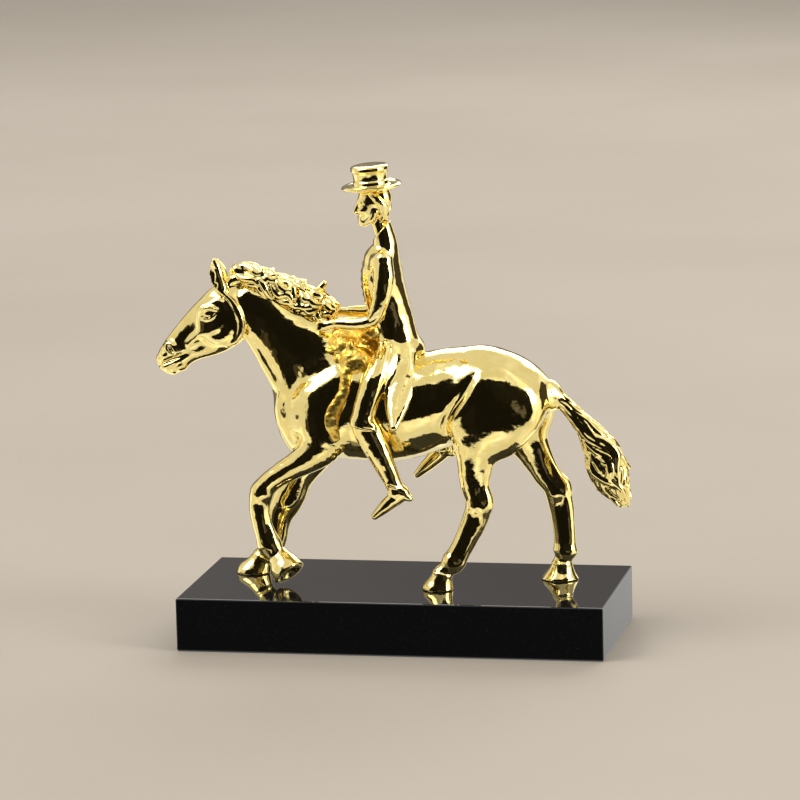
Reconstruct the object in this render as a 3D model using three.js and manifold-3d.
// A small cast horse and rider, walking on a polished rectangular plinth.
// Millimetres, +Z up. The origin is the middle of the plinth's underside, and the horse faces -X.
// The plinth is one slab. Horse and rider are one casting, whose soles stand flat on the slab.
import * as THREE from "three";
import { mergeVertices } from "three/addons/utils/BufferGeometryUtils.js";
import Module from "manifold-3d";

const wasm = await Module();
wasm.setup();

// Driving dimensions, in millimetres
const plinthLength = 120;
const plinthWidth = 54;
const plinthThickness = 15;
const plinthChamfer = 0.5;
const withersHeight = 77; // of the horse, from its soles

// From here on the figure is in hundredths of its withers' height. Its x and y count from the middle
// of the plinth and its z from the soles, and the horse's near side is at -y.
const millimetresPerUnit = withersHeight / 100;

// A limb's joints are the points [x, y, z] that its middle line passes through. Its profile has rows of
// [place, half width across the horse, half depth], and the place counts joints.
const trunk = {
  joints: {
    breast: [-38, 0, 65],
    withers: [-21, 0, 66.5],
    girth: [0, 0, 65.4],
    loin: [21, 0, 69.6],
    croup: [40, 0, 70],
    dock: [54, 0, 69.6],
  },
  profile: [
    [0, 8.4, 12.6],
    [0.45, 12.6, 18.6],
    [1, 15, 20.7],
    [1.5, 16.6, 20.6],
    [2, 17.2, 19.6],
    [2.5, 16.8, 18],
    [3, 15.4, 17.2],
    [3.55, 15.6, 17.6],
    [4.1, 13.8, 15.8],
    [4.65, 9.4, 11.2],
    [5, 4.8, 6],
  ],
};
const neck = {
  joints: {
    nape: [-57.5, 0, 103.3],
    throat: [-49.8, 0, 96.3],
    middle: [-39.1, 0, 86],
    root: [-23, 0, 71.5],
  },
  profile: [
    [0, 4.6, 7.6],
    [0.4, 5.2, 9.4],
    [1, 6, 10.7],
    [1.45, 7.2, 12.5],
    [2, 8.8, 15.5],
    [2.5, 11, 17.8],
    [3, 12, 15],
  ],
};
const head = {
  joints: {
    poll: [-58.5, 0, 102.2],
    eyes: [-68.8, 0, 95.3],
    nose: [-78.2, 0, 88.4],
    lips: [-86.8, 0, 79.8],
  },
  profile: [
    [0, 4.6, 8.2],
    [0.45, 5.6, 10.6],
    [1, 5.3, 9.8],
    [1.5, 4.5, 8.6],
    [2, 3.8, 7.4],
    [2.45, 3.5, 6.5],
    [2.8, 3.9, 5.9],
    [3, 3.6, 5],
  ],
};
const breast = { middle: [-36.4, 0, 60.6], radii: [9.8, 11.5, 15.6], lean: -7 };
const nearHaunch = { middle: [33, -8.4, 64.6], radii: [14.8, 9, 16.6], lean: 8, detail: 14 };
const farHaunch = { middle: [39, 8.4, 64.6], radii: [14, 9, 16], lean: -8, detail: 14 };
const nearCheek = { middle: [-61.4, -3.1, 95], radii: [7.6, 3.5, 8.2], lean: 35 };
const forelock = { middle: [-59, 0, 114], radii: [3, 2.4, 2.9], detail: 8 };
const ears = {
  near: { root: [-65.4, -3.4, 107], middle: [-67, -3.9, 111.6], tip: [-68.2, -4.4, 117.6] },
  far: { root: [-64.8, 3.4, 107.4], middle: [-68, 5, 111.2], tip: [-69.6, 6.8, 115.8] },
  profile: [
    [0, 1.6, 2],
    [1, 2, 2.6],
    [1.5, 1.4, 2],
    [2, 0.4, 0.5],
  ],
};

// The near forefoot is flexed and touches down with its toe. The other three stand on flat soles.
const forelegs = {
  near: {
    bladeTop: [-20.5, -6.5, 78],
    shoulderPoint: [-26.5, -9.2, 65],
    elbow: [-28.5, -10.4, 52],
    knee: [-50.6, -9.9, 34.4],
    fetlock: [-48.6, -9.8, 15.6],
    coronet: [-44, -9.8, 8.6],
    sole: [-41.2, -9.8, 3.6],
  },
  far: {
    bladeTop: [-20.5, 6.5, 78],
    shoulderPoint: [-26.5, 9.2, 65],
    elbow: [-30, 10.2, 52],
    knee: [-45.8, 10, 26],
    fetlock: [-52, 10, 11.2],
    coronet: [-55.4, 10, 6.6],
    sole: [-59.6, 10, -1.5],
  },
  profile: [
    [0, 4, 6],
    [0.5, 6, 10.4],
    [1, 6.8, 12],
    [1.5, 6.6, 10.6],
    [2, 5.6, 7.8],
    [2.3, 4.7, 5.4],
    [2.65, 3.8, 4.1],
    [3, 3.6, 4.1],
    [3.25, 3.2, 3.6],
    [3.5, 2.6, 3.1],
    [3.75, 2.6, 3.2],
    [4, 3.2, 4],
    [4.5, 2.9, 3.6],
    [5, 2.7, 3.2],
  ],
};
const hindlegs = {
  near: {
    hip: [31, -8.6, 68],
    stifle: [29.4, -9.8, 54],
    gaskin: [28.2, -10.4, 39],
    hock: [29.6, -10.5, 31.4],
    fetlock: [19.8, -11, 10.2],
    coronet: [16, -11.3, 6.4],
    sole: [13.4, -11.5, -1.5],
  },
  far: {
    hip: [37, 8.6, 68],
    stifle: [42.6, 9.8, 54.6],
    gaskin: [49.6, 10, 41.2],
    hock: [54.8, 10, 32.8],
    fetlock: [57.2, 10, 10.6],
    coronet: [56.2, 10, 6.4],
    sole: [54.6, 10, -1.5],
  },
  profile: [
    [0, 7.4, 9.4],
    [1, 6.4, 8.8],
    [1.5, 4.9, 6.6],
    [2, 4, 5.4],
    [2.5, 3.8, 5],
    [3, 3.9, 5],
    [3.25, 3.1, 4],
    [3.55, 2.7, 3.4],
    [3.8, 2.8, 3.6],
    [4, 3.3, 4.3],
    [4.5, 2.9, 3.6],
    [5, 2.8, 3.3],
  ],
};
const hoofProfile = [
  [0, 3, 3.6],
  [0.4, 4.1, 4.7],
  [0.85, 4.9, 5.7],
  [1, 4.7, 5.5],
];

const tail = {
  joints: {
    inside: [49, 0, 73],
    dock: [58, 0, 69.4],
    first: [65.2, 0, 61.4],
    second: [72.4, 0, 51.2],
    third: [76.5, 0, 41],
    tip: [81.6, 0, 30.6],
  },
  profile: [
    [0, 3, 3.8],
    [1, 2.9, 3.4],
    [1.5, 2.8, 3.1],
    [2, 3.2, 3.4],
    [2.5, 4, 4.5],
    [3, 4.7, 6],
    [3.5, 5, 7],
    [4, 4.4, 6.4],
    [4.5, 3, 4.4],
    [5, 1, 1.4],
  ],
  flutes: 6,
  fluteDepth: 0.12, // as a share of the radius
  twist: 0.35, // radians at each joint
};
// The mane's locks lie in rows along a line from the forelock to the withers.
const mane = {
  joints: {
    forelock: [-60.4, 0, 113.8],
    nape: [-50, 0, 110.6],
    crest: [-40, 0, 107],
    neckRoot: [-31, 0, 102.4],
    withers: [-23, 0, 97],
  },
  locksInARow: 5,
  lockShare: 0.32, // of the mane's length
  rowSpacing: 2.9,
  rowDrop: 1.4,
  wave: 1,
  tipLift: 2,
  profile: [
    [0, 1.4, 2],
    [1, 2, 2.9],
    [2, 1.6, 2.4],
    [3, 0.5, 0.5],
  ],
};
// The last lock stands up in front of the rider's hands.
const tuft = {
  joints: { root: [-29, 0, 100], middle: [-29.6, 0.6, 105.4], tip: [-26.8, 1, 109] },
  profile: [
    [0, 2, 2.6],
    [1, 1.7, 2],
    [2, 1, 1.1],
  ],
};

const torso = {
  joints: {
    seat: [-1, 0, 81],
    waist: [-2.6, 0, 94.9],
    chest: [-5.8, 0, 110.2],
    collar: [-5.3, 0, 122.6],
  },
  profile: [
    [0, 9.4, 9],
    [0.5, 8.6, 8.8],
    [1, 7.4, 8.1],
    [1.5, 8, 7.8],
    [2, 9.6, 7.6],
    [2.5, 10.2, 7],
    [2.8, 9, 6],
    [3, 7.6, 5.4],
  ],
};
const collarAndThroat = {
  joints: { collar: [-5, 0, 122], throat: [-5.6, 0, 129], skull: [-7.4, 0, 135] },
  profile: [
    [0, 5, 5.4],
    [0.55, 4.1, 4.5],
    [0.7, 3, 3.3],
    [2, 3, 3.4],
  ],
};
const face = {
  joints: { brow: [-9.6, 0, 141], mouth: [-10.6, 0, 136.4], chin: [-12, 0, 132.6] },
  profile: [
    [0, 4.9, 5.8],
    [1, 4.4, 5],
    [2, 2.3, 2.7],
  ],
};
const nose = {
  joints: { bridge: [-14.7, 0, 140.2], tip: [-15.8, 0, 137] },
  profile: [
    [0, 0.8, 0.9],
    [1, 1.2, 1.2],
  ],
};
const hair = { middle: [-7.8, 0, 140], radii: [5.6, 5.3, 6.6], lean: 10 };
const napeHair = { middle: [-5.6, 0, 134.4], radii: [2.9, 4.4, 3.6], detail: 10 };
const arms = {
  near: {
    shoulder: [-3.6, -9.2, 120],
    upperArm: [-3.4, -12.2, 111],
    elbow: [-8, -12, 98.6],
    wrist: [-22, -9.2, 96.8],
    fingertips: [-27.2, -8.4, 95.6],
  },
  far: {
    shoulder: [-5, 9.2, 119.6],
    upperArm: [-5, 12.2, 110.4],
    elbow: [-8.6, 12, 99.6],
    wrist: [-21.5, 9.2, 98],
    fingertips: [-27.6, 7.6, 98.4],
  },
  profile: [
    [0, 3.2, 3.4],
    [1, 3, 3.3],
    [1.7, 2.5, 2.7],
    [2, 2.4, 2.5],
    [2.5, 2.1, 2.3],
    [3, 1.7, 1.9],
    [3.4, 1.6, 2.4],
    [4, 0.9, 1.3],
  ],
};
// The far lower leg swings further back than the near one.
const legs = {
  near: {
    thigh: { hip: [-3, -6.5, 84], middle: [-6.7, -15, 76.5], knee: [-11, -18, 63] },
    shin: { knee: [-11, -18, 63], calf: [-5, -17.4, 49.4], ankle: [1, -16.6, 37] },
    foot: { heel: [5.4, -16.6, 35.6], instep: [0.4, -16.6, 33.9], toe: [-7.8, -17, 27.3] },
  },
  far: {
    thigh: { hip: [-3, 6.5, 84], middle: [-6.7, 15, 76.5], knee: [-11, 18, 63] },
    shin: { knee: [-11, 18, 63], calf: [0.5, 17.6, 54], ankle: [12, 16.8, 46.8] },
    foot: { heel: [14.4, 16.8, 47], instep: [9.8, 16.8, 43.4], toe: [2.6, 16.8, 36.6] },
  },
  profiles: {
    thigh: [
      [0, 6, 6.2],
      [1, 4.9, 5],
      [2, 3.9, 4.2],
    ],
    shin: [
      [0, 3.8, 4.2],
      [0.7, 3.6, 4],
      [1.4, 2.9, 3.4],
      [2, 2.9, 3.5],
    ],
    foot: [
      [0, 1.1, 0.9],
      [0.6, 2, 2.1],
      [1, 2, 2.3],
      [1.6, 1.7, 1.6],
      [2, 0.7, 0.7],
    ],
  },
};
// The coat's skirt hangs from the waist over the horse's side, behind the thigh.
const coatSkirt = {
  joints: {
    waist: [3.4, -6, 85],
    side: [1.4, -13.5, 77.5],
    fold: [-1.2, -16.8, 69],
    hem: [-2.6, -17.8, 63],
  },
  profile: [
    [0, 4.4, 5],
    [1, 3.2, 4.7],
    [2, 2.2, 4],
    [3, 1.5, 2.6],
  ],
};
const hat = {
  middle: [-9.3, 0, 145.4],
  lean: -4, // degrees
  brimRadius: 10.9,
  brimDroop: 0.9,
  rim: 0.5,
  crownFoot: 6.1,
  crownTop: 6.9,
  crownHeight: 7.7,
  ribbonHeight: 2.2,
  ribbonThickness: 0.45,
  edgeHeight: 2,
  sides: 16,
};

// Solids

// A closed geometry as a solid that can be joined and cut.
function solidOf(geometry) {
  const bare = geometry.clone();
  bare.deleteAttribute("normal");
  bare.deleteAttribute("uv");
  const merged = mergeVertices(bare, 1e-5);
  return new wasm.Manifold(
    new wasm.Mesh({
      numProp: 3,
      vertProperties: new Float32Array(merged.attributes.position.array),
      triVerts: new Uint32Array(merged.index.array),
    }),
  );
}

function geometryOf(solid) {
  const { vertProperties, triVerts } = solid.getMesh();
  const geometry = new THREE.BufferGeometry();
  geometry.setAttribute("position", new THREE.BufferAttribute(vertProperties, 3));
  geometry.setIndex(new THREE.BufferAttribute(triVerts, 1));
  geometry.computeVertexNormals();
  return geometry;
}

// Half width and half depth at a place along a profile, on a smooth curve through its rows.
function sizesAt(profile, place) {
  const last = profile.length - 1;
  let i = profile.findIndex(([at]) => at > place) - 1;
  if (i < 0) i = last - 1;
  const [p0, p1, p2, p3] = [i - 1, i, i + 1, i + 2].map((n) => profile[Math.min(Math.max(n, 0), last)]);
  const t = (place - p1[0]) / (p2[0] - p1[0]);
  const slope = (a, b, n) => ((b[n] - a[n]) / (b[0] - a[0])) * (p2[0] - p1[0]);
  return [1, 2].map((n) => {
    const m1 = slope(p0, p2, n);
    const m2 = slope(p1, p3, n);
    const rise = p2[n] - p1[n];
    return p1[n] + t * (m1 + t * (3 * rise - 2 * m1 - m2 + t * (m1 + m2 - 2 * rise)));
  });
}

const curveThrough = (joints) =>
  new THREE.CatmullRomCurve3(Object.values(joints).map((joint) => new THREE.Vector3(...joint)));

// A body of oval sections along a curve through its joints. Its ends are domes, or plain points.
// fluting(angle, place) is a factor on the section's radius, for hair.
function limb({ joints, profile }, { sides = 10, pointed = false, fluting = () => 1 } = {}) {
  const curve = curveThrough(joints);
  const span = curve.points.length - 1;
  const ringAt = (place, reach, size) => {
    const [halfWidth, halfDepth] = sizesAt(profile, place);
    const along = curve.getTangent(place / span);
    const across = new THREE.Vector3(0, 1, 0).addScaledVector(along, -along.y).normalize();
    const up = new THREE.Vector3().crossVectors(along, across);
    const middle = curve.getPoint(place / span);
    middle.addScaledVector(along, reach * Math.min(halfWidth, halfDepth));
    if (size === 0) return [middle];
    return Array.from({ length: sides }, (_, k) => {
      const angle = (2 * Math.PI * (k + 0.5)) / sides;
      const radius = size * fluting(angle, place);
      return middle
        .clone()
        .addScaledVector(across, radius * halfWidth * Math.cos(angle))
        .addScaledVector(up, radius * halfDepth * Math.sin(angle));
    });
  };
  const halfway = Math.SQRT1_2; // the sine and the cosine half way up a dome
  const domeRing = (place, reach) => (pointed ? [] : [ringAt(place, reach, halfway)]);
  const rings = [
    ringAt(0, -1, 0),
    ...domeRing(0, -halfway),
    ...profile.map(([place]) => ringAt(place, 0, 1)),
    ...domeRing(span, halfway),
    ringAt(span, 1, 0),
  ];
  return skinned(rings, sides);
}

// Triangles between rings of points. The first and the last ring are single points.
function skinned(rings, sides) {
  const starts = [];
  rings.reduce((sum, ring) => (starts.push(sum), sum + ring.length), 0);
  const faces = [];
  for (let n = 0; n + 1 < rings.length; n++) {
    const [a, b] = [starts[n], starts[n + 1]];
    for (let k = 0; k < sides; k++) {
      const next = (k + 1) % sides;
      if (n === 0) faces.push(a, b + next, b + k);
      else if (n + 2 === rings.length) faces.push(a + k, a + next, b);
      else faces.push(a + k, a + next, b + next, a + k, b + next, b + k);
    }
  }
  const geometry = new THREE.BufferGeometry().setFromPoints(rings.flat());
  geometry.setIndex(faces);
  return geometry;
}

// An ellipsoid that leans by some degrees in the plane of the horse's length.
function mass({ middle, radii, lean = 0, detail = 12 }) {
  const bands = Math.ceil(detail / 2) + 1;
  const geometry = new THREE.SphereGeometry(1, detail, bands);
  geometry.scale(...radii);
  geometry.rotateY(THREE.MathUtils.degToRad(lean));
  geometry.translate(...middle);
  return geometry;
}

const mirroredPoint = ([x, y, z]) => [x, -y, z];

function mirrored({ joints, profile }) {
  const entries = Object.entries(joints).map(([name, joint]) => [name, mirroredPoint(joint)]);
  return { joints: Object.fromEntries(entries), profile };
}

// Horse

// A leg from its top down to the coronet, and its hoof from the coronet to the sole.
function legWithHoof({ sole, ...bones }, profile) {
  const hoof = { joints: { coronet: bones.coronet, sole }, profile: hoofProfile };
  return [limb({ joints: bones, profile }, { sides: 9 }), limb(hoof, { sides: 9 })];
}

// Wavy locks in three rows along the crest, each rising off it at its tip.
function maneLocks() {
  const { locksInARow, lockShare, rowSpacing, rowDrop, wave, tipLift, profile } = mane;
  const line = curveThrough(mane.joints);
  const steps = profile.length - 1;
  const locks = [];
  for (const row of [-1, 0, 1]) {
    for (let n = 0; n < locksInARow; n++) {
      const start = ((n + (row + 1) / 3) / locksInARow) * (1 - lockShare);
      const joints = profile.map((_, k) => {
        const { x, z } = line.getPoint(start + (lockShare * k) / steps);
        const rise = (k % 2 ? wave : -wave) + (k === steps ? tipLift : 0);
        return [x, row * rowSpacing, z + rise - Math.abs(row) * rowDrop];
      });
      locks.push(limb({ joints, profile }, { sides: 5, pointed: true }));
    }
  }
  return locks;
}

function tailHair() {
  const { flutes, fluteDepth, twist } = tail;
  const fluting = (angle, place) => {
    const fadeIn = Math.min(place / 2, 1);
    return 1 + fluteDepth * fadeIn * Math.cos(flutes * (angle + twist * place));
  };
  return limb(tail, { sides: 3 * flutes, fluting });
}

function horse() {
  const earOn = (side) => limb({ joints: ears[side], profile: ears.profile }, { sides: 6, pointed: true });
  const farCheek = { ...nearCheek, middle: mirroredPoint(nearCheek.middle) };
  return [
    limb(trunk, { sides: 17 }),
    limb(neck, { sides: 14 }),
    limb(head, { sides: 12 }),
    ...[breast, nearHaunch, farHaunch, nearCheek, farCheek, forelock].map(mass),
    ...["near", "far"].flatMap((side) => [
      ...legWithHoof(forelegs[side], forelegs.profile),
      ...legWithHoof(hindlegs[side], hindlegs.profile),
      earOn(side),
    ]),
    tailHair(),
    ...maneLocks(),
    limb(tuft, { sides: 8 }),
  ];
}

// Rider

function riderLeg(side) {
  const parts = Object.entries(legs.profiles);
  return parts.map(([part, profile]) => limb({ joints: legs[side][part], profile }, { sides: 8 }));
}

function topHat() {
  const { brimRadius, brimDroop, rim, crownFoot, crownTop, crownHeight } = hat;
  const { ribbonHeight, ribbonThickness, edgeHeight } = hat;
  const outline = [
    [0, -brimDroop],
    [crownFoot, -brimDroop],
    [brimRadius - rim, -rim],
    [brimRadius, 0],
    [brimRadius - rim, rim],
    [crownFoot + ribbonThickness, rim],
    [crownFoot + ribbonThickness, ribbonHeight],
    [crownFoot, ribbonHeight],
    [crownTop - ribbonThickness, crownHeight - edgeHeight],
    [crownTop, crownHeight - edgeHeight],
    [crownTop, crownHeight - rim],
    [crownTop - rim, crownHeight],
    [0, crownHeight],
  ];
  const points = outline.map(([radius, height]) => new THREE.Vector2(radius, height));
  const geometry = new THREE.LatheGeometry(points, hat.sides);
  geometry.rotateX(Math.PI / 2); // a lathe turns round Y
  geometry.rotateY(THREE.MathUtils.degToRad(hat.lean));
  return geometry.translate(...hat.middle);
}

function rider() {
  const arm = (side) => limb({ joints: arms[side], profile: arms.profile }, { sides: 8 });
  return [
    limb(torso, { sides: 14 }),
    ...["near", "far"].flatMap((side) => [arm(side), ...riderLeg(side)]),
    ...[coatSkirt, mirrored(coatSkirt)].map((skirt) => limb(skirt, { sides: 8 })),
    limb(collarAndThroat),
    limb(face),
    limb(nose, { sides: 6 }),
    ...[hair, napeHair].map(mass),
    topHat(),
  ];
}

// Plinth

function plinth() {
  const [x, y] = [plinthLength / 2 - plinthChamfer, plinthWidth / 2 - plinthChamfer];
  const outline = new THREE.Shape([
    new THREE.Vector2(-x, -y),
    new THREE.Vector2(x, -y),
    new THREE.Vector2(x, y),
    new THREE.Vector2(-x, y),
  ]);
  const geometry = new THREE.ExtrudeGeometry(outline, {
    depth: plinthThickness - 2 * plinthChamfer,
    bevelThickness: plinthChamfer,
    bevelSize: plinthChamfer,
    bevelSegments: 1,
  });
  return geometry.translate(0, 0, plinthChamfer);
}

// The whole

// The figure at its real size, its soles cut flat by the plinth's top.
function figure() {
  const scale = millimetresPerUnit;
  const parts = [...horse(), ...rider()].map((geometry) =>
    geometry.scale(scale, scale, scale).translate(0, 0, plinthThickness),
  );
  const belowTheSoles = new THREE.BoxGeometry(2 * plinthLength, 2 * plinthWidth, plinthThickness);
  belowTheSoles.translate(0, 0, plinthThickness / 2);
  const whole = parts.map(solidOf).reduce((sum, solid) => sum.add(solid));
  return geometryOf(whole.subtract(solidOf(belowTheSoles)));
}

function named(name, geometry, material) {
  const mesh = new THREE.Mesh(geometry, material);
  mesh.name = name;
  return mesh;
}

const gold = new THREE.MeshStandardMaterial({ color: 0xd9ae4a, roughness: 0.12, metalness: 1 });
const blackStone = new THREE.MeshStandardMaterial({ color: 0x0b0b0c, roughness: 0.06, metalness: 0 });

const statuette = new THREE.Group();
statuette.add(named("plinth", plinth(), blackStone));
statuette.add(named("horse_and_rider", figure(), gold));

export default statuette;
